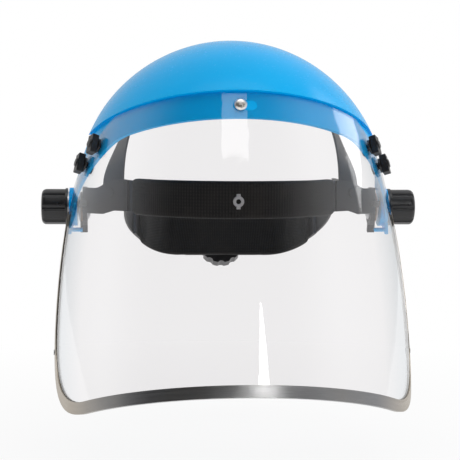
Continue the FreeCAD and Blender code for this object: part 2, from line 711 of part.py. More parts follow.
def crown_strap(word, side, lower):
    """Half strap over the head, twisting from the ear's plane to lie across the top."""
    face, along, outwards = strap_root(side)
    thick = size("crown_strap_thick")
    half = size("crown_strap_half")
    rise = size("crown_strap_rise") - lower
    root = face - outwards * (thick / 2 + STRAP_GAP)
    stations = [(root + vec(0, 0, level), along, outwards, STRAP_FLARE)
                for level in STRAP_STRAIGHT]
    for step in range(1, STRAP_STEPS + 1):
        angle = math.radians(STRAP_SWEEP * step / STRAP_STEPS)
        share = math.sin(min(angle, math.pi / 2))
        spot = vec(side * half * math.cos(angle), root.y + STRAP_SHIFT * share,
                   size("crown_strap_base") + rise * math.sin(angle))
        twist = math.sqrt(share)
        width = along * (1 - twist) + vec(0, 1, 0) * twist
        slope = vec(-side * half * math.sin(angle), STRAP_SHIFT * math.cos(angle),
                    rise * math.cos(angle))
        flare = STRAP_FLARE * (1 - share) ** 2
        stations.append((spot, width, width.cross(slope) * side, flare))
    sections = []
    for spot, width, outer, flare in stations:
        plane = doc.addObject("Part::Plane", "strap_section")
        bind(plane, Length="Sizes.crown_strap_wide + %s" % flare,
             Width="Sizes.crown_strap_thick")
        spin = FreeCAD.Rotation(width, outer, vec(0, 0, 0), "XYZ")
        corner = spin.multVec(vec(-(size("crown_strap_wide") + flare) / 2, -thick / 2, 0))
        plane.Placement = FreeCAD.Placement(spot + corner, spin)
        sections.append(plane)
    loft = doc.addObject("Part::Loft", "crown_strap_loft_" + word)
    loft.Sections = sections
    loft.Solid = True
    loft.Ruled = False
    return loft


def crown_straps():
    """The left half has the pegs, and the right half lies over it and has the holes."""
    top = size("crown_strap_base") + size("crown_strap_rise")
    y = strap_root(1)[0].y + STRAP_SHIFT
    rivets = {side: rod("strap_bore", RIVET_SHANK, -12, 12, headgear_rivet_places(side)[0])
              for _, side in SIDES}
    left = crown_strap("left", -1, 1.9)
    pegs = [rod("strap_peg", PEG_RADIUS, top - 2.4, top + 1.9, at(x, y, 0)) for x in PEG_SPOTS]
    left = minus("crown_strap_left", join("left_strap_pegged", [left] + pegs), rivets[-1])
    right = crown_strap("right", 1, 0.0)
    holes = [rod("strap_hole", PEG_RADIUS + 0.2, top - 15, top + 5, at(x, y, 0))
             for x in HOLE_SPOTS]
    right = minus("crown_strap_right", right, join("strap_holes", holes + [rivets[1]]))
    return left, right


# ---------------------------------------------------------- rear straps (nape frame)
def rear_strap():
    """Right hand strap from the front band's side round to the mouth of the ratchet."""
    out_half = "Sizes.strap_side - Sizes.housing_half - 1"
    out_deep = "Sizes.strap_rear - Sizes.strap_turn"
    centre = ("Sizes.housing_half + 1", "Sizes.strap_turn")
    low, top = "-Sizes.strap_tall / 2", "Sizes.strap_tall / 2"
    bend = minus("strap_bend_wall",
                 column("strap_bend_outer", ((out_half, out_deep, low), (out_half, out_deep, top)),
                        centre),
                 column("strap_bend_inner", (
                     (out_half + " - Sizes.strap_thick", out_deep + " - Sizes.strap_thick", low),
                     (out_half + " - Sizes.strap_thick", out_deep + " - Sizes.strap_thick", top)),
                     centre))
    quadrant = block("strap_quadrant", (centre[0], centre[1], -50), (REACH, REACH, 50))
    side = block("strap_side", ("Sizes.strap_side - Sizes.strap_thick", "Sizes.strap_start", low),
                 ("Sizes.strap_side", "Sizes.strap_turn + 0.01", top))
    strap = join("strap_whole", [shared("strap_bend", [bend, quadrant]), side])
    strap.Placement = NAPE_FRAME
    return strap


def rear_straps():
    right = rear_strap()
    pair = []
    for (word, side), strap in zip(SIDES, (mirrored("strap_mirrored", right), right)):
        bore = rod("rear_strap_bore", RIVET_SHANK, -12, 12, headgear_rivet_places(side)[1])
        pair.append(minus("rear_strap_" + word, strap, bore))
    return pair


# ----------------------------------------------------------------- nape (nape frame)
FLOOR_OUT = 97.7       # rear face of the housing's floor
FLOOR_IN = 95.6        # its front face, against the pad
RACK_IN = 98.2         # front face of the racks and the pinion
COVER_IN = 100.6       # front face of the cover
COVER_OUT = 103.0      # rear face of the cover
SCREW_X = 28.0
KNOB_FRONT = 103.9     # front rim of the ratchet knob
KNOB_HUB = 109.0       # end of the pinion shaft inside the knob
KNOB_DISH = 3.0        # depth of the dish round the knob's screw
SHAFT_RADIUS = 3.4
RACK_TEETH = 12
TOOTH_HALF = 0.58      # half a rack tooth's width at the pitch line, in tooth modules
TOOTH_SLOPE = math.tan(math.radians(20))
WING_HALF = 11.0       # half the height of the plate's wings and the tray floor
CHANNEL_HALF = 9.4     # half the height of the racks' channel
REARWARDS = turn(vec(1, 0, 0), -90)     # turns +Z to +Y


def nape_wing(name, gap, thick, low, top, front_end):
    """Wall that follows the inside of the right rear strap at a gap from it."""
    half = "Sizes.strap_side - Sizes.strap_thick - Sizes.housing_half - 1 - %s" % gap
    deep = "Sizes.strap_rear - Sizes.strap_thick - Sizes.strap_turn - %s" % gap
    centre = ("Sizes.housing_half + 1", "Sizes.strap_turn")
    walls = [column(name + word, tuple(("%s - %s" % (half, inset), "%s - %s" % (deep, inset),
                                        level) for level in (low, top)), centre)
             for word, inset in (("_outer", "0"), ("_inner", thick))]
    limit = block(name + "_limit", (centre[0], front_end, -50), (REACH, REACH, 50))
    return shared(name, [minus(name + "_wall", *walls), limit])


def nape_housing():
    """Curved plate behind the head with a tray that the two racks slide in."""
    wing = nape_wing("wing", "0.6", "2.1", -WING_HALF, WING_HALF, "Sizes.wing_end")
    half = "Sizes.housing_half"
    tall = "Sizes.housing_tall / 2"
    floor = block("tray_floor", ("-(%s) - 1.01" % half, FLOOR_IN, -WING_HALF),
                  ("%s + 1.01" % half, FLOOR_OUT, WING_HALF))
    solid = block("tray_block", ("-(%s)" % half, FLOOR_IN, "-(%s)" % tall),
                  (half, COVER_IN - 0.05, tall))
    channel = block("tray_channel", ("-(%s) - 1" % half, FLOOR_OUT, -CHANNEL_HALF),
                    ("%s + 1" % half, COVER_IN + 1, CHANNEL_HALF))
    posts = [rod("screw_post", 2.7, FLOOR_OUT - 0.5, COVER_IN - 0.05, at(x, 0, 0, REARWARDS))
             for x in (-SCREW_X, SCREW_X)]
    tray = join("tray", [floor, minus("tray_walls", solid, channel), wing,
                         mirrored("wing_left", wing)] + posts)
    bores = [rod("screw_bore", 1.2, FLOOR_OUT - 0.4, COVER_IN + 1, at(x, 0, 0, REARWARDS))
             for x in (-SCREW_X, SCREW_X)]
    return minus("nape_housing", tray, join("screw_bores", bores))


def nape_cover():
    tall = "Sizes.housing_tall / 2"
    half = "Sizes.housing_half"
    body = prism("cover_plate", "XZ_Plane", (
        ("-(%s)" % half, "-(%s)" % tall), (half, "-(%s)" % tall), (half, tall),
        ("-(%s)" % half, tall)), COVER_OUT - COVER_IN,
        rounds=((0, 5.0), (1, 5.0), (2, 5.0), (3, 5.0)), symmetric=False, backwards=True)

    def is_rear(edge):
        return min(vertex.Point.y for vertex in edge.Vertexes) > COVER_OUT - COVER_IN - 0.01
    round_rims(body, is_rear, 0.9)
    body.Placement = at(0, COVER_IN, 0)
    holes = [rod("cover_hole", 1.3, 90, 110, at(x, 0, 0, REARWARDS))
             for x in (-SCREW_X, SCREW_X)]
    holes.append(rod("shaft_hole", SHAFT_RADIUS + RUNNING, 90, 110, at(0, 0, 0, REARWARDS)))
    return minus("nape_cover", body, join("cover_holes", holes))


def nape_screws():
    screws = []
    for x in (-SCREW_X, SCREW_X):
        screw = turned("nape_screw", (
            (0, FLOOR_OUT - 0.3), (1.2, FLOOR_OUT - 0.3), (1.2, COVER_OUT + 0.05),
            (2.5, COVER_OUT + 0.05), (2.3, COVER_OUT + 1.0), (0, COVER_OUT + 1.4)))
        screw.Placement = at(x, 0, 0, REARWARDS)
        screws.append(screw)
    return group("nape_screws", screws)


def nape_pad():
    """Soft pad on the inside of the nape plate."""
    thick = "Sizes.nape_pad_thick"
    low, top = "Sizes.nape_pad_low", "Sizes.nape_pad_top"
    wing = nape_wing("pad_wing", "2.9", thick, low, top, "Sizes.nape_pad_end")
    rear = "Sizes.strap_rear - Sizes.strap_thick - 2.9"
    middle = block("pad_middle", ("-Sizes.housing_half - 1.01", rear + " - " + thick, low),
                   ("Sizes.housing_half + 1.01", rear, top))
    return join("nape_pad", [middle, wing, mirrored("pad_wing_left", wing)])


# -------------------------------------------------------- racks, pinion, ratchet knob
def add_pattern(body, kind, name, feature, count):
    pattern = body.newObject("PartDesign::" + kind, name)
    pattern.Originals = [feature]
    if kind == "PolarPattern":
        axis = [item for item in body.Origin.OriginFeatures if item.Role == "Z_Axis"][0]
        pattern.Axis = (axis, [""])
        pattern.Angle = 360
    pattern.setExpression("Occurrences", str(count))
    body.Tip = pattern
    return pattern


def rack(name):
    """Upper rack, which carries the right strap. Its teeth face down on the pinion."""
    pitch_line = "Sizes.pinion_radius"
    module = size("gear_depth")
    body = new_body(name)
    bar = sketch_on(body, name + "_bar", "XZ_Plane")
    root = pitch_line + " + 1.2 * Sizes.gear_depth"
    draw_polygon(bar, ((-7, root), ("Sizes.rack_end", root),
                       ("Sizes.rack_end", "Sizes.strap_tall / 2"), (-7, "Sizes.strap_tall / 2")))
    thick = "Sizes.strap_rear - %s" % RACK_IN
    pad(body, bar, thick, backwards=True)
    tooth = sketch_on(body, name + "_tooth", "XZ_Plane")
    pitch = math.pi * module
    middle = -1.5 * pitch
    tip = pitch_line + " - 0.7 * Sizes.gear_depth"
    half_tip = (TOOTH_HALF - 0.7 * TOOTH_SLOPE) * module
    half_root = (TOOTH_HALF + 1.2 * TOOTH_SLOPE) * module
    draw_polygon(tooth, ((middle - half_tip, tip), (middle + half_tip, tip),
                         (middle + half_root, root + " + 0.05"),
                         (middle - half_root, root + " + 0.05")))
    single = pad(body, tooth, thick, backwards=True)
    row = add_pattern(body, "LinearPattern", name + "_teeth", single, RACK_TEETH)
    row.Direction = (tooth, ["H_Axis"])
    row.Length = pitch * (RACK_TEETH - 1)
    doc.recompute()
    body.Placement = at(0, RACK_IN, 0)
    return body


def drive_pinion():
    """Pinion and its shaft, which passes through the cover into the knob."""
    wide = COVER_IN - 0.2 - RACK_IN
    module = size("gear_depth")
    pitch = size("pinion_radius")
    body = new_body("drive_pinion")
    core = sketch_on(body, "pinion_core", "XY_Plane")
    draw_circle(core, (0, 0), "Sizes.pinion_radius - 1.2 * Sizes.gear_depth")
    pad(body, core, wide)
    tooth = sketch_on(body, "pinion_tooth", "XY_Plane")
    flank = ((0.72, pitch - 1.3 * module), (0.58, pitch - 0.1 * module),
             (0.22, pitch + 0.75 * module))
    left = tuple((-x * module, y) for x, y in reversed(flank))
    draw_polygon(tooth, tuple((x * module, y) for x, y in flank) + left)
    single = pad(body, tooth, wide)
    add_pattern(body, "PolarPattern", "pinion_teeth", single, "Sizes.pinion_teeth")
    doc.recompute()
    shaft = sketch_on(body, "pinion_shaft", "XY_Plane")
    draw_circle(shaft, (0, 0), SHAFT_RADIUS)
    pad(body, shaft, KNOB_HUB - RACK_IN)
    body.Placement = at(0, RACK_IN, 0, REARWARDS)
    bore = rod("pinion_bore", 1.2, 80, 130, at(0, 0, 0, REARWARDS))
    return minus("drive_pinion_bored", body, bore)


def lobed_knob(name, radius, length, lobes, bite, bite_reach, rim):
    """Round knob with finger flutes, its back face on Z = 0."""
    body = new_body(name)
    blank = sketch_on(body, name + "_round", "XY_Plane")
    draw_circle(blank, (0, 0), radius)
    feature = pad(body, blank, length)
    top = feature.Shape.BoundBox.ZMax
    front = edges_where(feature.Shape, lambda edge: edge.BoundBox.ZMin > top - 0.01)
    fillet(body, feature, front, rim)
    flute = sketch_on(body, name + "_flute", "XY_Plane")
    draw_circle(flute, (bite_reach, 0), bite)
    cut = body.newObject("PartDesign::Pocket", name + "_flute_cut")
    cut.Profile = flute
    cut.Type = 1
    cut.Reversed = True
    doc.recompute()
    add_pattern(body, "PolarPattern", name + "_flutes", cut, lobes)
    doc.recompute()
    return body


def ratchet_knob():
    body = lobed_knob("ratchet_blank", "Sizes.ratchet_radius", "Sizes.ratchet_deep", 12, 3.2,
                      "Sizes.ratchet_radius + 1.7", 2.2)
    body.Placement = at(0, KNOB_FRONT, 0, REARWARDS)
    axis = at(0, 0, 0, REARWARDS)
    seat = KNOB_FRONT + size("ratchet_deep") - KNOB_DISH
    tools = [rod("knob_under", 12.5, KNOB_FRONT - 1, KNOB_FRONT + 2.2, axis),
             rod("knob_bore", SHAFT_RADIUS, 90, KNOB_HUB, axis),
             rod("knob_screw_bore", 1.3, 90, 130, axis),
             rod("knob_dish", 7.0, seat, 130, axis)]
    return minus("ratchet_knob", body, join("ratchet_tools", tools))


def ratchet_screw():
    seat = KNOB_FRONT + size("ratchet_deep") - KNOB_DISH
    body = turned("ratchet_screw", (
        (0, RACK_IN + 1), (1.15, RACK_IN + 1), (1.15, seat + 0.05), (3.2, seat + 0.05),
        (3.0, seat + 1.4), (2.2, seat + 1.9), (1.4, seat + 1.9), (1.4, seat + 1.1),
        (0, seat + 1.1)))
    body.Placement = at(0, 0, 0, REARWARDS)
    return body


def detent_spring():
    """Spring ring on the cover that clicks against the knob as it turns."""
    body = turned("detent_spring", (
        (5.5, COVER_OUT + 0.05), (10.5, COVER_OUT + 0.05), (11.5, COVER_OUT + 1.4),
        (11.2, COVER_OUT + 1.7), (10.1, COVER_OUT + 0.55), (5.5, COVER_OUT + 0.55)))
    body.Placement = at(0, 0, 0, REARWARDS)
    return body


# -------------------------------------------------------------------- pivot hardware
def pivot_bolt(word, side):
    """Coach bolt: dome head inside the ear, square neck in it, shank out to the knob."""
    inside = size("ear_inside")
    shank = turned("bolt_turned_" + word, (
        (0, inside - 3.4), (3.5, inside - 3.1), (7.0, inside - 1.9),
        ("Sizes.bolt_head", inside - 0.9), ("Sizes.bolt_head", inside - 0.05),
        ("Sizes.bolt_radius", inside - 0.05), ("Sizes.bolt_radius", "Sizes.bolt_tip - 0.8"),
        ("Sizes.bolt_radius - 0.8", "Sizes.bolt_tip"), (0, "Sizes.bolt_tip")))
    shank.Placement = at(0, 0, 0, SIDEWAYS[side])
    neck = doc.addObject("Part::Box", "bolt_neck_" + word)
    bind(neck, Length="Sizes.ear_thick - 0.1", Width="2 * Sizes.bolt_radius",
         Height="2 * Sizes.bolt_radius")
    start = inside - 0.1 if side > 0 else -inside + 0.2 - size("ear_thick")
    neck.Placement = at(start, -size("bolt_radius"), -size("bolt_radius"))
    return join("pivot_bolt_" + word, [shank, neck])


def ring_part(name, side, bore, rim, start, end):
    body = turned(name, ((bore, start), (rim, start), (rim, end), (bore, end)))
    body.Placement = at(0, 0, 0, SIDEWAYS[side])
    return body


def cone_spring(name, side):
    """Disc spring that keeps friction on the tilt."""
    start = size("ear_inside") + size("ear_thick") + 1.7
    body = turned(name, ((4.3, start + 1.2), (10.5, start), (10.7, start + 0.7),
                         (4.5, start + 1.9)))
    body.Placement = at(0, 0, 0, SIDEWAYS[side])
    return body


def tilt_knob(word, side):
    """Lobed hand knob with a flange, blind on its outer face."""
    inside = size("knob_inside")
    grip = lobed_knob("knob_grip_" + word, "Sizes.knob_radius",
                      "Sizes.knob_outside - Sizes.knob_inside", 8, 2.6,
                      "Sizes.knob_radius + 1.1", 3.4)
    spin = at(0, 0, 0, SIDEWAYS[side])
    grip.Placement = spin.multiply(at(0, 0, inside))
    flange = rod("knob_flange_" + word, "Sizes.knob_radius + 0.6", inside, inside + 1.6, spin)
    tools = [rod("insert_seat", "Sizes.insert_radius", inside - 5, inside + 13, spin),
             rod("knob_face_dish", 8.0, size("knob_outside") - 0.9, 150, spin)]
    return minus("tilt_knob_" + word, join("knob_blank_" + word, [grip, flange]),
                 join("knob_tools_" + word, tools))


def pivot_hardware():
    pieces = {}
    ear_out = size("ear_inside") + size("ear_thick")
    for word, side in SIDES:
        knob_in = size("knob_inside")
        pieces["pivot_bolt_" + word] = pivot_bolt(word, side)
        pieces["friction_washer_" + word] = ring_part(
            "friction_washer_" + word, side, "Sizes.bolt_radius + 0.2", 10.8, ear_out + 0.05,
            ear_out + 1.6)
        pieces["disc_spring_" + word] = cone_spring("disc_spring_" + word, side)
        pieces["knob_washer_" + word] = ring_part(
            "knob_washer_" + word, side, "Sizes.bolt_radius + 0.1", 11.0,
            "Sizes.boss_outside + 0.05", "Sizes.knob_inside - 0.05")
        pieces["tilt_knob_" + word] = tilt_knob(word, side)
        pieces["knob_insert_" + word] = ring_part(
            "knob_insert_" + word, side, "Sizes.bolt_radius + %s" % RUNNING,
            "Sizes.insert_radius", knob_in + 0.2, knob_in + 12.8)
    return pieces


# ------------------------------------------------------------------------- assembly
def in_frame(items, frame):
    for item in items.values():
        item.Placement = frame.multiply(item.Placement)
    return items


def build_crown():
    blank = visor_blank()
    crown = {"crown_shell": crown_shell(), "visor_sheet": visor_sheet(blank),
             "edge_binding": edge_binding(blank), "centre_rivet": centre_rivet(),
             "rivet_washer": rivet_washer(), "latch_posts": latch_posts(),
             "latch_bases": latch_bases(), "binding_rivets": binding_rivets()}
    for key in LATCHES:
        crown["latch_lever_" + key] = latch_lever(key)
    doc.recompute()
    return in_frame(crown, CROWN_FRAME)


def build_nape():
    nape = {"nape_housing": nape_housing(), "nape_cover": nape_cover(),
            "nape_screws": nape_screws(), "nape_pad": nape_pad(),
            "rack_right": rack("rack_right"), "rack_left": rack("rack_left"),
            "drive_pinion": drive_pinion(), "ratchet_knob": ratchet_knob(),
            "ratchet_screw": ratchet_screw(), "detent_spring": detent_spring()}
    # the left strap's rack is the same piece, half a turn about the pinion's axis
    half_turn = at(0, 0, 0, turn(vec(0, 1, 0), 180))
    nape["rack_left"].Placement = half_turn.multiply(nape["rack_left"].Placement)
    doc.recompute()
    return in_frame(nape, NAPE_FRAME)


def build_headgear():
    headgear = {"front_band": front_band(), "brow_pad": brow_pad(), "pad_button": pad_button(),
                "headgear_rivets": headgear_rivets()}
    headgear["crown_strap_left"], headgear["crown_strap_right"] = crown_straps()
    headgear["rear_strap_left"], headgear["rear_strap_right"] = rear_straps()
    headgear.update(pivot_hardware())
    return headgear


NODES = build_headgear()
NODES.update(build_crown())
NODES.update(build_nape())
for node, item in NODES.items():
    item.Label = node
doc.recompute()

broken = [item.Name for item in doc.Objects if {"Invalid", "Error"} & set(item.State)]
if broken:
    raise RuntimeError("failed objects: " + ", ".join(broken))
for node, item in NODES.items():
    if item.Shape.isNull() or not item.Shape.isValid() or not item.Shape.Solids:
        raise RuntimeError(node + " has no valid solid")

os.makedirs("parts", exist_ok=True)
for node, item in NODES.items():
    item.Shape.exportStep(os.path.join("parts", node + ".step"))
print("%d parts written" % len(NODES))
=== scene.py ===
"""Looks of a browguard face shield: materials, soft pads, straps, light and camera.

Everything is in metres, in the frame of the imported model: +Z up as worn, and the wearer
looks along -Y. Nape coordinates lie with the rear straps: X across, Y back along the straps,
which is also the line that the ratchet turns about, and Z up from it.
"""

import json
import math
from collections import namedtuple

import bmesh
import bpy
from mathutils import Matrix, Vector


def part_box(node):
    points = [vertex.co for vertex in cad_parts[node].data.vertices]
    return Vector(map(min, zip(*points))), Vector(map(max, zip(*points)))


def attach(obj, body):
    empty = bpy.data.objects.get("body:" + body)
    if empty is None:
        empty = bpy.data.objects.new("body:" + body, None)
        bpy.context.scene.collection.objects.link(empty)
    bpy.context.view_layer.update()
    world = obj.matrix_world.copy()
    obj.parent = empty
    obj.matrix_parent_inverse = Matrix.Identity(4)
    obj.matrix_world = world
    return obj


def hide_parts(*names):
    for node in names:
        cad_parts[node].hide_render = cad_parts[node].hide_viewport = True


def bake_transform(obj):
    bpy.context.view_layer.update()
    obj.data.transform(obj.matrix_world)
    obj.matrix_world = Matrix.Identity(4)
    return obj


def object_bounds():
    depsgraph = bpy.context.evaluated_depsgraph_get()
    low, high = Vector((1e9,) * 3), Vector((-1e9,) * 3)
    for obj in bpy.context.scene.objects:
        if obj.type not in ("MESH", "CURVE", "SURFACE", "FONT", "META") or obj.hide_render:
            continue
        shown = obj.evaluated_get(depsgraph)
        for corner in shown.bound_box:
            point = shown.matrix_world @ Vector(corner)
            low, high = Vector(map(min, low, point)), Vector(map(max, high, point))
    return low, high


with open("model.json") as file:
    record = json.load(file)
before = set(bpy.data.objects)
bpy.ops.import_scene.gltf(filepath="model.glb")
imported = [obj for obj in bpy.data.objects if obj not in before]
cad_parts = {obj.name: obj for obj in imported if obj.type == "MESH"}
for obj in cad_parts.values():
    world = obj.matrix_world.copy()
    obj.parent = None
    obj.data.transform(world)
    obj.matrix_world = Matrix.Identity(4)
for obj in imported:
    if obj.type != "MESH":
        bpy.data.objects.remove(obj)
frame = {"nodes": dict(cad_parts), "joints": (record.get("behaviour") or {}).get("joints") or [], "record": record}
CAD_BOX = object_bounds()
NODES = frame["nodes"]
JOINTS = {joint["name"]: joint for joint in frame["joints"]}
MM = 0.001


# ------------------------------------------------------------------- frames and measures
def nape_frame():
    """Matrix of the nape coordinates, from the joints of the nape plate and its ratchet."""
    back = Vector(JOINTS["nape_slide"]["axis"]).normalized()
    across = Vector((1, 0, 0))
    up = across.cross(back)
    hub = Vector(JOINTS["ratchet_turn"]["pos_m"])
    origin = hub - back * hub.dot(back)
    turn = Matrix((across, back, up)).transposed().to_4x4()
    return Matrix.Translation(origin) @ turn


NAPE = nape_frame()


def nape_box(node):
    """Lowest and highest corner of a CAD node in nape coordinates."""
    inverse = NAPE.inverted()
    spots = [inverse @ vertex.co for vertex in NODES[node].data.vertices]
    low = Vector([min(spot[axis] for spot in spots) for axis in range(3)])
    high = Vector([max(spot[axis] for spot in spots) for axis in range(3)])
    return low, high


# -------------------------------------------------------------------------- mesh building
CORNER_PARTS = 4              # straight parts of a rounded corner in a cross-section
TIP_THICK = 0.12              # share of its thickness that a pad's nose has at the very end
NOSE_HEIGHT = 0.35            # share of its height that a nose keeps, however thin it gets


def rounded_ring(half_wide, half_tall, radius, step):
    """Evenly spaced points round a rounded rectangle, anticlockwise from its right side."""
    corners = []
    for x_sign, z_sign, start in ((1, 1, 0), (-1, 1, 90), (-1, -1, 180), (1, -1, 270)):
        centre = (x_sign * (half_wide - radius), z_sign * (half_tall - radius))
        for part in range(CORNER_PARTS + 1):
            angle = math.radians(start + 90 * part / CORNER_PARTS)
            corners.append((centre[0] + radius * math.cos(angle),
                            centre[1] + radius * math.sin(angle)))
    ring = []
    for (x, z), (next_x, next_z) in zip(corners, corners[1:] + corners[:1]):
        count = max(1, round(math.hypot(next_x - x, next_z - z) / step))
        ring += [(x + (next_x - x) * part / count, z + (next_z - z) * part / count)
                 for part in range(count)]
    return ring


def mesh_object(name, skin):
    """Turn a bmesh into a smooth shaded object of the scene."""
    mesh = bpy.data.meshes.new(name)
    skin.to_mesh(mesh)
    skin.free()
    shade_faces(mesh, smooth=True)
    piece = bpy.data.objects.new(name, mesh)
    bpy.context.scene.collection.objects.link(piece)
    return piece


def shade_faces(mesh, smooth):
    for face in mesh.polygons:
        face.use_smooth = smooth


def sweep(name, path, rings):
    """Closed skin of cross-sections carried along a path of (centre, outwards, up)."""
    skin = bmesh.new()
    loops = []
    for (centre, outwards, up), ring in zip(path, rings):
        loops.append([skin.verts.new(centre + outwards * wide + up * tall)
                      for wide, tall in ring])
    count = len(rings[0])
    for first, second in zip(loops, loops[1:]):
        for index in range(count):
            following = (index + 1) % count
            skin.faces.new((first[index], first[following], second[following],
                            second[index]))
    skin.faces.new(loops[0][::-1])
    skin.faces.new(loops[-1])
    bmesh.ops.recalc_face_normals(skin, faces=skin.faces)
    return mesh_object(name, skin)


def round_ends(path, ring, length):
    """Cross-sections along a path that close down in a soft nose at both ends."""
    start, end = path[0][0], path[-1][0]
    rings = []
    for centre, _, _ in path:
        reach = min((centre - start).length, (centre - end).length)
        share = min(1.0, reach / length)
        shrink = max(TIP_THICK, math.sqrt(1 - (1 - share) ** 2))
        lower = NOSE_HEIGHT + (1 - NOSE_HEIGHT) * shrink
        rings.append([(wide * shrink, tall * lower) for wide, tall in ring])
    return rings


CLOTH_FRAMES = 20             # settings of the cloth that a pad is blown up as
CLOTH_PRESSURE = 4.0
CLOTH_STIFFNESS = 20
CLOTH_BENDING = 4


def swell(piece, cap):
    """Blow a closed skin up as cloth, moving no point further than the cap."""
    scene = bpy.context.scene
    rest = [vertex.co.copy() for vertex in piece.data.vertices]
    cloth = piece.modifiers.new("Cloth", "CLOTH")
    cloth.settings.use_pressure = True
    cloth.settings.uniform_pressure_force = CLOTH_PRESSURE
    cloth.settings.effector_weights.gravity = 0
    cloth.settings.tension_stiffness = CLOTH_STIFFNESS
    cloth.settings.compression_stiffness = CLOTH_STIFFNESS
    cloth.settings.bending_stiffness = CLOTH_BENDING
    for step in range(1, CLOTH_FRAMES + 1):
        scene.frame_set(step)
    shape = piece.evaluated_get(bpy.context.evaluated_depsgraph_get()).to_mesh()
    blown = [vertex.co.copy() for vertex in shape.vertices]
    piece.modifiers.remove(cloth)
    scene.frame_set(1)
    for vertex, start, moved in zip(piece.data.vertices, rest, blown):
        shift = moved - start
        if shift.length > cap:
            shift *= cap / shift.length
        vertex.co = start + shift


def subdivide(piece, levels):
    """Apply smooth subdivision, so that the final mesh is what rides."""
    modifier = piece.modifiers.new("Subdivision", "SUBSURF")
    modifier.levels = levels
    modifier.render_levels = levels
    shape = bpy.data.meshes.new_from_object(
        piece.evaluated_get(bpy.context.evaluated_depsgraph_get()))
    piece.modifiers.remove(modifier)
    piece.data = shape
    shade_faces(shape, smooth=True)


# ------------------------------------------------------------------------ material helper
class Look:
    """A node-based material under construction, textured by position on its object.

    The objects of the CAD nodes and of the soft pieces sit at the origin, so for them that
    is the position in the frame of the model.
    """

    def __init__(self, name, edge_radius=0.3 * MM, **inputs):
        self.material = bpy.data.materials.new(name)
        self.material.use_nodes = True
        self.tree = self.material.node_tree
        self.skin = self.tree.nodes["Principled BSDF"]
        self.place = self.add("ShaderNodeTexCoord").outputs["Object"]
        for label, value in inputs.items():
            self.skin.inputs[label.replace("_", " ")].default_value = value
        bevel = self.add("ShaderNodeBevel", Radius=edge_radius)
        bevel.samples = 4
        self.rounded = bevel.outputs["Normal"]
        self.normal = self.rounded
        self.feed(self.skin.inputs["Normal"], self.normal)

    def add(self, kind, **inputs):
        node = self.tree.nodes.new(kind)
        for label, value in inputs.items():
            self.feed(node.inputs[label.replace("_", " ")], value)
        return node

    def feed(self, socket, value):
        if isinstance(value, bpy.types.NodeSocket):
            self.tree.links.new(value, socket)
        else:
            socket.default_value = value

    def show(self, shader):
        """Make a shader other than the principled one the surface of the material."""
        self.feed(self.tree.nodes["Material Output"].inputs["Surface"], shader.outputs[0])

    def mixed(self, fac, first, second):
        """Shader that goes from the first to the second as the factor goes from 0 to 1."""
        node = self.add("ShaderNodeMixShader")
        for socket, value in zip(node.inputs, (fac, first.outputs[0], second.outputs[0])):
            self.feed(socket, value)
        return node

    def sums(self, operation, first, second=0.0):
        """Result of a maths operation on one or two values."""
        node = self.add("ShaderNodeMath")
        node.operation = operation
        self.feed(node.inputs[0], first)
        self.feed(node.inputs[1], second)
        return node.outputs[0]

    def stretched(self, scale, turn=(0, 0, 0)):
        """Position turned and then scaled along its axes."""
        turned = self.add("ShaderNodeMapping", Vector=self.place, Rotation=turn)
        return self.add("ShaderNodeMapping", Vector=turned.outputs[0], Scale=scale).outputs[0]

    def noise(self, scale, detail=3.0, roughness=0.5, place=None):
        node = self.add("ShaderNodeTexNoise", Vector=place or self.place, Scale=scale,
                        Detail=detail, Roughness=roughness)
        return node.outputs["Fac"]

    def between(self, fac, low, high, start=0.0, end=1.0):
        """Map a value from start..end to low..high, clamped."""
        node = self.add("ShaderNodeMapRange", Value=fac, From_Min=start, From_Max=end,
                        To_Min=low, To_Max=high)
        return node.outputs["Result"]

    def blend(self, fac, first, second):
        """Colour that goes from the first to the second as the factor goes from 0 to 1."""
        node = self.add("ShaderNodeMix")
        node.data_type = "RGBA"
        self.feed(node.inputs[0], fac)
        self.feed(node.inputs[6], first)
        self.feed(node.inputs[7], second)
        return node.outputs[2]

    def edges(self):
        """One near a worn edge, zero on a flat face."""
        true = self.add("ShaderNodeNewGeometry").outputs["Normal"]
        node = self.add("ShaderNodeVectorMath")
        node.operation = "DOT_PRODUCT"
        self.feed(node.inputs[0], true)
        self.feed(node.inputs[1], self.rounded)
        return self.between(node.outputs["Value"], 1.0, 0.0, start=0.80, end=0.995)

    def bump(self, height, strength, distance):
        """Add relief on top of what the surface already has."""
        node = self.add("ShaderNodeBump", Height=height, Strength=strength,
                        Distance=distance, Normal=self.normal)
        self.normal = node.outputs["Normal"]
        self.feed(self.skin.inputs["Normal"], self.normal)

    def colour(self, value):
        self.feed(self.skin.inputs["Base Color"], value)

    def rough(self, value):
        self.feed(self.skin.inputs["Roughness"], value)


def rgb(red, green, blue):
    return (red, green, blue, 1.0)


def grey(tone):
    return rgb(tone, tone, tone)


def scaled(tone, share):
    """A red, green and blue tone made darker or lighter."""
    return rgb(*[part * share for part in tone])


# ------------------------------------------------------------------------------ materials
def crown_plastic():
    """Glossy moulded cyan blue with faint flow marks and fine handling scratches."""
    look = Look("crown_plastic", IOR=1.45, Specular_IOR_Level=0.13)
    flow = look.noise(18, detail=2)
    look.colour(look.blend(flow, rgb(0.0, 0.440, 0.930), rgb(0.0, 0.490, 0.985)))
    along = look.stretched((1, 0.06, 1), turn=(0.3, 0.2, 0.5))
    scratch = look.noise(900, detail=2, place=along)
    look.rough(look.between(scratch, 0.16, 0.30, start=0.35, end=0.75))
    look.bump(look.noise(140, detail=2), strength=0.05, distance=0.0006)
    look.bump(look.noise(2200, detail=2), strength=0.05, distance=0.00008)
    return look.material


SHEET_IOR = 1.5


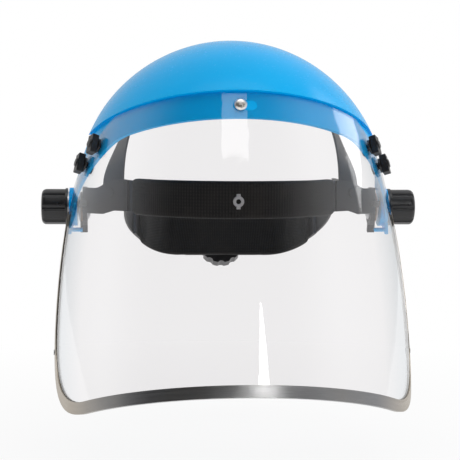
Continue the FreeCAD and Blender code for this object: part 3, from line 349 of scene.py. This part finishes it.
def clear_sheet():
    """Clear sheet: straight see-through with a grey cast, and a sharp skin reflection."""
    look = Look("clear_sheet")
    inside = look.add("ShaderNodeNewGeometry").outputs["Backfacing"]
    index = look.between(inside, SHEET_IOR, 1 / SHEET_IOR)
    fresnel = look.add("ShaderNodeFresnel", IOR=index).outputs[0]
    smudge = look.between(look.noise(26, detail=4, roughness=0.6), 0.015, 0.05,
                          start=0.4, end=0.8)
    shine = look.add("ShaderNodeBsdfGlossy", Color=grey(1), Roughness=smudge)
    facing = look.add("ShaderNodeLayerWeight", Blend=0.5).outputs["Facing"]
    cast = look.blend(look.between(facing, 0, 1, start=0.55), rgb(0.957, 0.951, 0.954),
                      rgb(0.80, 0.83, 0.85))
    through = look.add("ShaderNodeBsdfTransparent", Color=cast)
    look.show(look.mixed(fresnel, through, shine))
    return look.material


CROWN_LEAN = math.radians(20)        # the crown is raised by this about the tilt axis
BINDING_CORNER = (-0.085, -0.0953)   # Y and Z of the centre of its bend, crown level


def binding_metal():
    """Rolled aluminium, brushed along the edge of the sheet that it wraps.

    Its middle is bright, the stretches beside it are darkened with painted shade and the corners are warm.
    """
    look = Look("binding_metal", Metallic=1.0, Anisotropic=0.5)
    level = look.add("ShaderNodeMapping", Vector=look.place, Rotation=(CROWN_LEAN, 0, 0))
    x, y, z = look.add("ShaderNodeSeparateXYZ", Vector=level.outputs[0]).outputs
    corner_y, corner_z = BINDING_CORNER
    behind = look.sums("MAXIMUM", look.sums("SUBTRACT", y, corner_y), 0.0)
    below = look.sums("MAXIMUM", look.sums("SUBTRACT", corner_z, z), 0.0)
    out = look.sums("SQRT", look.sums("ADD", look.sums("POWER", behind, 2.0),
                                      look.sums("POWER", below, 2.0)))
    along = look.sums("MULTIPLY", look.sums("ADD", x, z), 0.02)
    lines = look.add("ShaderNodeCombineXYZ", X=out, Y=along).outputs[0]
    brush = look.noise(4200, roughness=0.6, place=lines)
    streak = look.noise(700, detail=2, place=lines)
    bright = look.blend(brush, rgb(0.46, 0.46, 0.47), rgb(0.90, 0.90, 0.91))
    aside = look.sums("ABSOLUTE", x)
    # Painted shade: the stretches beside the middle are darkened towards grey 0.19.
    shaded = look.blend(look.between(aside, 0, 0.75, start=0.02, end=0.06), bright,
                        rgb(0.19, 0.19, 0.20))
    warm = look.blend(look.between(aside, 0, 0.85, start=0.085, end=0.115), shaded,
                      rgb(0.44, 0.38, 0.30))
    tarnish = look.between(look.noise(30), 0, 0.4, start=0.45, end=0.8)
    look.colour(look.blend(tarnish, warm, rgb(0.50, 0.47, 0.42)))
    look.rough(look.between(streak, 0.20, 0.42))
    look.bump(brush, strength=0.25, distance=0.00006)
    look.bump(streak, strength=0.20, distance=0.0002)
    return look.material


def steel(name, tone, low, high, grain):
    """Small metal parts, with clouded colour and a roughness between low and high."""
    look = Look(name, edge_radius=0.2 * MM, Metallic=1.0)
    cloud = look.between(look.noise(grain), 0, 1, start=0.3, end=0.7)
    look.colour(look.blend(cloud, rgb(*tone), scaled(tone, 0.72)))
    look.rough(look.between(look.noise(grain * 4, detail=2), low, high))
    look.bump(look.noise(grain * 9, detail=2), strength=0.08, distance=0.00005)
    return look.material


def black_plastic(name, tone, low, high, pebble, depth):
    """Black moulding with a pebbled skin, dusty patches and rubbed edges."""
    look = Look(name)
    dust = look.between(look.noise(45, detail=4, roughness=0.6), 0, 1, start=0.3, end=0.75)
    base = look.blend(dust, rgb(*tone), scaled(tone, 1.7))
    rub = look.sums("MULTIPLY", look.edges(), look.between(look.noise(260), 0.1, 0.7))
    look.colour(look.blend(rub, base, rgb(0.12, 0.12, 0.125)))
    look.rough(look.between(look.noise(120), low, high))
    cells = look.add("ShaderNodeTexVoronoi", Vector=look.place, Scale=pebble)
    look.bump(cells.outputs["Distance"], strength=0.35, distance=depth)
    look.bump(look.noise(60, detail=2), strength=0.08, distance=0.0004)
    return look.material


PAD_RADIUS = 90 * MM          # how far the pads are from the middle of the head
WALE_PITCH = 1.9 * MM         # spacing of the upright ribs of the knit
COURSE_PITCH = 2.2 * MM       # spacing of its stitches along a rib
FULL_TURN = 2 * math.pi


def pad_fabric():
    """Black knit over foam: fine wales that run upright, with a soft nap."""
    look = Look("pad_fabric", edge_radius=0.8 * MM, Sheen_Weight=0.06, Sheen_Roughness=0.5,
                Specular_IOR_Level=0.2)
    x, y, z = look.add("ShaderNodeSeparateXYZ", Vector=look.place).outputs
    swing = look.sums("ARCTAN2", x, look.sums("ABSOLUTE", y))
    across = look.sums("SINE", look.sums("MULTIPLY", swing,
                                         FULL_TURN * PAD_RADIUS / WALE_PITCH))
    upright = look.sums("MULTIPLY", z, FULL_TURN / COURSE_PITCH)
    wave = look.sums("SINE", look.sums("ADD", upright, look.sums("MULTIPLY", across, 1.2)))
    knit = look.sums("MULTIPLY", look.between(across, 0, 1, start=-1),
                     look.between(wave, 0.25, 1, start=-1))
    shade = look.blend(knit, grey(0.006), rgb(0.022, 0.021, 0.020))
    dust = look.between(look.noise(40, detail=4, roughness=0.6), 0, 0.55, start=0.45, end=0.8)
    look.colour(look.blend(dust, shade, rgb(0.026, 0.023, 0.020)))
    fuzz = look.noise(2600, roughness=0.7)
    look.rough(look.between(fuzz, 0.78, 0.98))
    look.bump(knit, strength=0.6, distance=0.00030)
    look.bump(fuzz, strength=0.25, distance=0.00012)
    look.bump(look.noise(70), strength=0.25, distance=0.0010)
    return look.material


def pale_plastic(name, tone, roughness):
    """Plain pale moulding with slight clouding."""
    look = Look(name)
    look.colour(look.blend(look.noise(220), rgb(*tone), scaled(tone, 0.8)))
    look.rough(look.between(look.noise(500, detail=2), roughness, roughness + 0.15))
    look.bump(look.noise(900, detail=2), strength=0.1, distance=0.0001)
    return look.material


STEELS = {
    "rivet_metal": dict(tone=(0.62, 0.62, 0.63), low=0.25, high=0.45, grain=300),
    "bright_nickel": dict(tone=(0.95, 0.91, 0.86), low=0.30, high=0.44, grain=260),
    "plated_steel": dict(tone=(0.60, 0.60, 0.62), low=0.22, high=0.40, grain=350),
    "insert_brass": dict(tone=(0.72, 0.56, 0.30), low=0.20, high=0.35, grain=300),
}
BLACK_PLASTICS = {
    "headgear_plastic": dict(tone=(0.016, 0.016, 0.018), low=0.38, high=0.60, pebble=1500,
                             depth=0.00010),
    "latch_plastic": dict(tone=(0.012, 0.012, 0.013), low=0.28, high=0.45, pebble=2200,
                          depth=0.00004),
    "knob_plastic": dict(tone=(0.010, 0.010, 0.011), low=0.22, high=0.40, pebble=2000,
                         depth=0.00004),
}
PALE_PLASTICS = {
    "button_plastic": dict(tone=(0.42, 0.42, 0.43), roughness=0.35),
    "fibre": dict(tone=(0.35, 0.22, 0.14), roughness=0.7),
    "pinion_plastic": dict(tone=(0.55, 0.55, 0.52), roughness=0.4),
}


def build_materials():
    """Every finish, by the name of its slot in the record."""
    materials = {
        "crown_plastic": crown_plastic(),
        "clear_sheet": clear_sheet(),
        "binding_metal": binding_metal(),
        "pad_fabric": pad_fabric(),
    }
    for finish, slots in ((steel, STEELS), (black_plastic, BLACK_PLASTICS),
                          (pale_plastic, PALE_PLASTICS)):
        for slot, values in slots.items():
            materials[slot] = finish(slot, **values)
    return materials


def dress_cad_nodes(materials):
    """Give every CAD node the material of its slot in the record."""
    for part in frame["record"]["subparts"]:
        mesh = NODES[part["node"]].data
        mesh.materials.clear()
        mesh.materials.append(materials[part["material_slot"]])


def dress(piece, slot, materials):
    """Give a new piece the finish of a slot in the record."""
    piece.data.materials.append(materials[slot])


# ----------------------------------------------------------------------------- rear straps
STRAP_LOW, STRAP_HIGH = nape_box("rear_strap_right")
STRAP_THICK = 1.8 * MM
BEND_DEEP = 88.1 * MM         # depth of the elliptical bend of a rear strap's outer face
BEND_START = 34.0 * MM        # distance from the middle where the bend begins
ARM_PARTS = 10                # parts of a strap's path: straight arm, bend and tongue
BEND_PARTS = 60
TONGUE_PARTS = 12
TONGUE_END = 11 * MM          # how near the middle a strap's tongue comes
TONGUE_HALF = 3.8 * MM        # half the height of the tongue, which fits inside the cover
TONGUE_MARGIN = 2.5 * MM      # how far outside the cover the strap narrows
BACK_MARGIN = 3 * MM          # how near its rearmost point a strap counts as behind the bend
RIM = 2.2 * MM                # width of the raised rims along a strap's edges
RIM_HIGH = 0.35 * MM          # their height, and the size of the section's soft corners


def rear_curve(inset, angle):
    """Point and outward direction on the right hand bend, in nape coordinates."""
    centre = Vector((BEND_START, STRAP_HIGH.y - BEND_DEEP, 0))
    wide = STRAP_HIGH.x - BEND_START - inset
    deep = BEND_DEEP - inset
    spot = centre + Vector((wide * math.cos(angle), deep * math.sin(angle), 0))
    outwards = Vector((math.cos(angle) / wide, math.sin(angle) / deep, 0)).normalized()
    return spot, outwards


def from_nape(path):
    """Carry a path from nape coordinates to the frame of the model."""
    turn = NAPE.to_3x3()
    return [(NAPE @ centre, turn @ outwards, turn @ up) for centre, outwards, up in path]


def mirrored(spot, side):
    """Point or direction on the right, carried to the left when the side is -1."""
    return Vector((side * spot.x, spot.y, spot.z))


def strap_path(side):
    """Centres from a strap's riveted end round the bend and into the tray."""
    up = Vector((0, 0, 1))
    inset = STRAP_THICK / 2
    first, _ = rear_curve(inset, 0)
    top, _ = rear_curve(inset, math.pi / 2)
    rise = first.y - STRAP_LOW.y
    path = [(Vector((first.x, STRAP_LOW.y + rise * step / ARM_PARTS, 0)), Vector((1, 0, 0)))
            for step in range(ARM_PARTS)]
    path += [rear_curve(inset, math.pi / 2 * step / BEND_PARTS) for step in range(BEND_PARTS)]
    run = TONGUE_END - BEND_START
    path += [(Vector((BEND_START + run * step / TONGUE_PARTS, top.y, 0)), Vector((0, 1, 0)))
             for step in range(TONGUE_PARTS + 1)]
    return from_nape([(mirrored(spot, side), mirrored(outwards, side), up)
                      for spot, outwards in path])


def strap_ring(half_tall):
    """Strap section with raised rims along both edges of its outer face."""
    face = STRAP_THICK / 2
    rim = min(RIM, half_tall * 0.4)
    soft = RIM_HIGH
    sunk = face - RIM_HIGH
    outer = [(face - soft, -half_tall), (face, -half_tall + soft), (face, -half_tall + rim),
             (sunk, -half_tall + rim + soft), (sunk, 0.0), (sunk, half_tall - rim - soft),
             (face, half_tall - rim), (face, half_tall - soft), (face - soft, half_tall)]
    inner = [(-face + soft, half_tall), (-face, half_tall - soft), (-face, 0.0),
             (-face, -half_tall + soft), (-face + soft, -half_tall)]
    return outer + inner


def build_rear_strap(word, side, materials):
    """Strap from its rivet on the headgear to the tray of the nape plate."""
    _, cover = nape_box("nape_cover")
    path = strap_path(side)
    inverse = NAPE.inverted()
    rings = []
    for centre, _, _ in path:
        spot = inverse @ centre
        in_tray = abs(spot.x) < cover.x + TONGUE_MARGIN
        behind_bend = spot.y > STRAP_HIGH.y - BACK_MARGIN
        tongue = behind_bend and in_tray
        rings.append(strap_ring(TONGUE_HALF if tongue else (STRAP_HIGH.z - STRAP_LOW.z) / 2))
    strap = sweep("rear_strap_band_" + word, path, rings)
    shade_faces(strap.data, smooth=False)
    dress(strap, "headgear_plastic", materials)
    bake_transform(strap)
    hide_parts("rear_strap_" + word)


# ----------------------------------------------------------------------------- soft pads
# Sizes of a pad: thickness, corner radius, length of its rounded ends, most that it may
# swell, and depth of its sewn lines.
Foam = namedtuple("Foam", "thick corner nose swelling seam")
BROW_FOAM = Foam(thick=9.3 * MM, corner=3.0 * MM, nose=7 * MM, swelling=0.9 * MM,
                 seam=0.7 * MM)
NAPE_FOAM = Foam(thick=5.5 * MM, corner=2.2 * MM, nose=8 * MM, swelling=0.7 * MM,
                 seam=0.6 * MM)
FOAM_STEP = 3.6 * MM          # spacing of the points on a pad before it is blown up
FACE_SLACK = 0.2 * MM         # how much smaller than its room a pad starts on each face
EDGE_SLACK = 0.6 * MM         # and along its upper and lower edge
SEAM_INSET = 4.4 * MM         # distance of the sewn lines from those edges
BROW_PARTS = 66               # parts of the brow pad's path
BROW_END_GAP = 0.5 * MM       # how far its path stops short of the room's rear end
DIMPLE_REACH = 9.0 * MM
DIMPLE_DEPTH = 1.5 * MM
NAPE_BEND_PARTS = 22          # parts of the nape pad's path, round a bend and across the flat
NAPE_FLAT_PARTS = 18
NAPE_END_GAP = 1.0 * MM       # how far its path stops short of the room's front end
PLATE_ROOM = 2.9 * MM         # space of the nape plate's wings, between straps and pad


def build_foam(node, path, tall, foam):
    """Pad along a path: swept, blown up as cloth, and sewn near both edges."""
    ring = rounded_ring(foam.thick / 2 - FACE_SLACK, tall / 2 - EDGE_SLACK, foam.corner,
                        FOAM_STEP)
    pad = sweep(node + "_cover", path, round_ends(path, ring, foam.nose))
    swell(pad, foam.swelling)
    press_seams(pad, ring, tall / 2 - SEAM_INSET, foam.seam)
    return pad


def press_seams(pad, ring, level, depth):
    """Pull the skin in along two sewn lines of the inner face, this far above and below."""
    rows = [index for index, (wide, tall) in enumerate(ring)
            if wide < 0 and abs(abs(tall) - level) < FOAM_STEP / 2]
    mesh = pad.data
    mesh.update()
    for index, vertex in enumerate(mesh.vertices):
        if index % len(ring) in rows:
            vertex.co -= vertex.normal * depth


def finish_pad(pad, node, body, materials):
    subdivide(pad, 2)
    dress(pad, "pad_fabric", materials)
    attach(pad, body)
    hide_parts(node)


def brow_pad_path(low, high, thick):
    """Centres along the sleeve on the front band, from the left end to the right."""
    deep = -low.y
    end = -high.y
    half = high.x / math.sqrt(1 - (end / deep) ** 2)
    middle = (low.z + high.z) / 2
    across, ahead = half - thick / 2, deep - thick / 2
    limit = math.acos((end + BROW_END_GAP) / ahead)
    path = []
    for step in range(BROW_PARTS + 1):
        angle = -limit + 2 * limit * step / BROW_PARTS
        centre = Vector((across * math.sin(angle), -ahead * math.cos(angle), middle))
        outwards = Vector((math.sin(angle) / across, -math.cos(angle) / ahead, 0))
        path.append((centre, outwards.normalized(), Vector((0, 0, 1))))
    return path


def dimple_for_button(pad):
    """Sink the foam round the keyhole button, which pulls it against the band."""
    low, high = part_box("pad_button")
    centre = (low + high) / 2
    for vertex in pad.data.vertices:
        gap = math.hypot(vertex.co.x - centre.x, vertex.co.z - centre.z)
        if vertex.co.y < high.y and gap < DIMPLE_REACH:
            sink = (1 + math.cos(math.pi * gap / DIMPLE_REACH)) / 2
            vertex.co.y += DIMPLE_DEPTH * sink


def build_brow_pad(materials):
    low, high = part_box("brow_pad")
    path = brow_pad_path(low, high, BROW_FOAM.thick)
    pad = build_foam("brow_pad", path, high.z - low.z, BROW_FOAM)
    dimple_for_button(pad)
    finish_pad(pad, "brow_pad", "headgear", materials)


def nape_pad_path(low, high, thick):
    """Centres from the right end of the nape pad round to the left."""
    up = Vector((0, 0, 1))
    middle = (low.z + high.z) / 2
    lift = Vector((0, 0, middle))
    inset = STRAP_THICK + PLATE_ROOM + thick / 2
    first, _ = rear_curve(inset, 0)
    top, _ = rear_curve(inset, math.pi / 2)
    start = math.asin((low.y + NAPE_END_GAP - first.y) / (top.y - first.y))
    bend = []
    for step in range(NAPE_BEND_PARTS):
        spot, outwards = rear_curve(inset, start + (math.pi / 2 - start) * step / NAPE_BEND_PARTS)
        bend.append((spot + lift, outwards, up))
    flat = [(Vector((BEND_START * (1 - 2 * step / NAPE_FLAT_PARTS), top.y, middle)),
             Vector((0, 1, 0)), up) for step in range(NAPE_FLAT_PARTS + 1)]
    other = [(mirrored(spot, -1), mirrored(outwards, -1), up)
             for spot, outwards, up in reversed(bend)]
    return from_nape(bend + flat + other)


def build_nape_pad(materials):
    low, high = nape_box("nape_pad")
    path = nape_pad_path(low, high, NAPE_FOAM.thick)
    pad = build_foam("nape_pad", path, high.z - low.z, NAPE_FOAM)
    finish_pad(pad, "nape_pad", "nape", materials)


# ---------------------------------------------------------------------- light and camera
def aim(item, spot, target):
    item.location = spot
    item.rotation_mode = "QUATERNION"
    item.rotation_quaternion = (target - spot).to_track_quat("-Z", "Y")


def around(azimuth, elevation, distance, target):
    """Point at a distance from the target, azimuth 0 in front and growing to +X."""
    turn, lift = math.radians(azimuth), math.radians(elevation)
    return target + distance * Vector((math.sin(turn) * math.cos(lift),
                                       -math.cos(turn) * math.cos(lift), math.sin(lift)))


def softbox(name, centre, azimuth, elevation, distance, size, radiance):
    """Rectangular light whose brightness, as seen in a reflection, is the radiance."""
    wide, tall = size
    light = bpy.data.lights.new(name, "AREA")
    light.shape = "RECTANGLE"
    light.size = wide
    light.size_y = tall
    light.energy = radiance * math.pi * wide * tall
    item = bpy.data.objects.new(name, light)
    bpy.context.scene.collection.objects.link(item)
    aim(item, around(azimuth, elevation, distance, centre), centre)
    return item


CARD_LOW, CARD_HIGH = -0.17, 0.075             # lower and upper edge of the card
CARD_LOW_HALF, CARD_HIGH_HALF = 0.15, 0.006    # half its width at each of them


def streak_card(centre):
    """Glowing card that the visor reflects as a tapered streak. The camera can't see it."""
    skin = bmesh.new()
    corners = ((-CARD_LOW_HALF, CARD_LOW), (CARD_LOW_HALF, CARD_LOW),
               (CARD_HIGH_HALF, CARD_HIGH), (-CARD_HIGH_HALF, CARD_HIGH))
    skin.faces.new([skin.verts.new((wide, tall, 0)) for wide, tall in corners])
    card = mesh_object("streak_card", skin)
    spot = around(azimuth=17, elevation=33, distance=1.5, target=centre)
    aim(card, spot, centre)
    look = Look("card_light")
    look.show(look.add("ShaderNodeEmission", Color=grey(1), Strength=9.0))
    card.data.materials.append(look.material)
    card.visible_camera = False


WORLD_LEAN = 0.22             # how much the light of the world leans to the right


def build_world():
    """White backdrop to the eye. As light it is dim in front, and brighter on the right."""
    world = bpy.data.worlds.new("studio")
    bpy.context.scene.world = world
    world.use_nodes = True
    nodes, links = world.node_tree.nodes, world.node_tree.links
    backdrop = nodes["Background"]
    backdrop.inputs["Color"].default_value = grey(1)
    direction = nodes.new("ShaderNodeSeparateXYZ")
    links.new(nodes.new("ShaderNodeTexCoord").outputs["Generated"], direction.inputs[0])
    lean = nodes.new("ShaderNodeMath")
    lean.operation = "MULTIPLY_ADD"
    links.new(direction.outputs["X"], lean.inputs[0])
    lean.inputs[1].default_value = WORLD_LEAN
    links.new(direction.outputs["Y"], lean.inputs[2])
    fade = nodes.new("ShaderNodeMapRange")
    fade.interpolation_type = "SMOOTHSTEP"
    for label, value in (("From Min", -0.60), ("From Max", 0.10), ("To Min", 0.05),
                         ("To Max", 0.90)):
        fade.inputs[label].default_value = value
    links.new(lean.outputs[0], fade.inputs["Value"])
    glow = nodes.new("ShaderNodeBackground")
    links.new(fade.outputs["Result"], glow.inputs["Strength"])
    mix = nodes.new("ShaderNodeMixShader")
    links.new(nodes.new("ShaderNodeLightPath").outputs["Is Camera Ray"], mix.inputs[0])
    links.new(glow.outputs[0], mix.inputs[1])
    links.new(backdrop.outputs[0], mix.inputs[2])
    links.new(mix.outputs[0], nodes["World Output"].inputs["Surface"])


def build_light(centre):
    """Soft light from above, in front and the right. The fill isn't seen in reflections."""
    softbox("top_softbox", centre, azimuth=0, elevation=80, distance=1.3, size=(1.1, 0.7),
            radiance=1.6)
    fill = softbox("fill_softbox", centre, azimuth=34, elevation=40, distance=1.6,
                   size=(1.3, 1.3), radiance=1.35)
    fill.visible_glossy = False
    softbox("front_softbox", centre, azimuth=-1, elevation=50, distance=1.5,
            size=(0.50, 0.20), radiance=1.5)
    softbox("side_softbox", centre, azimuth=118, elevation=30, distance=1.6,
            size=(0.6, 0.8), radiance=1.8)
    streak_card(centre)
    build_world()


def lowest_level():
    """Lowest level that the binding reaches when the visor is tilted right down."""
    tilt = JOINTS["visor_tilt"]
    turn = Matrix.Rotation(math.radians(tilt["range_deg"][0]), 3, Vector(tilt["axis"]))
    return min((turn @ vertex.co).z for vertex in NODES["edge_binding"].data.vertices)


FLOOR_RADIUS = 4.0
FLOOR_GAP = 2 * MM


def build_floor(level):
    """Pale floor with a soft shadow near the object, running into the white backdrop."""
    skin = bmesh.new()
    bmesh.ops.create_circle(skin, cap_ends=True, segments=96, radius=FLOOR_RADIUS)
    floor = mesh_object("floor", skin)
    floor.location = (0, 0, level)
    look = Look("floor_paper", Roughness=0.9)
    look.colour(look.blend(look.noise(6), grey(0.86), grey(0.9)))
    look.bump(look.noise(900, detail=2), strength=0.1, distance=0.0001)
    glow = look.add("ShaderNodeEmission", Color=grey(1), Strength=1.0)
    reach = look.add("ShaderNodeVectorMath")
    reach.operation = "LENGTH"
    look.feed(reach.inputs[0], look.place)
    glowing = look.between(reach.outputs["Value"], 0.85, 1.0, start=0.10, end=0.5)
    look.show(look.mixed(glowing, look.skin, glow))
    floor.data.materials.append(look.material)


CAMERA_AZIMUTH = -3.8         # degrees, as are the next two
CAMERA_ELEVATION = 4.3
CAMERA_ROLL = 0.3
CAMERA_DISTANCE = 1.002
CAMERA_LENS = 106.7           # mm, as is the width of the sensor
CAMERA_SENSOR = 36
CAMERA_TARGET = Vector((0.5 * MM, -6.1 * MM, -16.7 * MM))


def build_camera():
    data = bpy.data.cameras.new("camera")
    data.lens = CAMERA_LENS
    data.sensor_width = CAMERA_SENSOR
    camera = bpy.data.objects.new("camera", data)
    bpy.context.scene.collection.objects.link(camera)
    spot = around(CAMERA_AZIMUTH, CAMERA_ELEVATION, CAMERA_DISTANCE, CAMERA_TARGET)
    aim(camera, spot, CAMERA_TARGET)
    roll = Matrix.Rotation(math.radians(CAMERA_ROLL), 4, "Z").to_quaternion()
    camera.rotation_quaternion = camera.rotation_quaternion @ roll
    bpy.context.scene.camera = camera


# ------------------------------------------------------------------------------- assembly
MATERIALS = build_materials()
dress_cad_nodes(MATERIALS)
build_brow_pad(MATERIALS)
build_nape_pad(MATERIALS)
for strap_word, strap_side in (("left", -1), ("right", 1)):
    build_rear_strap(strap_word, strap_side, MATERIALS)

build_floor(lowest_level() - FLOOR_GAP)
build_light((CAD_BOX[0] + CAD_BOX[1]) / 2)
build_camera()
bpy.context.scene.view_settings.view_transform = "Standard"
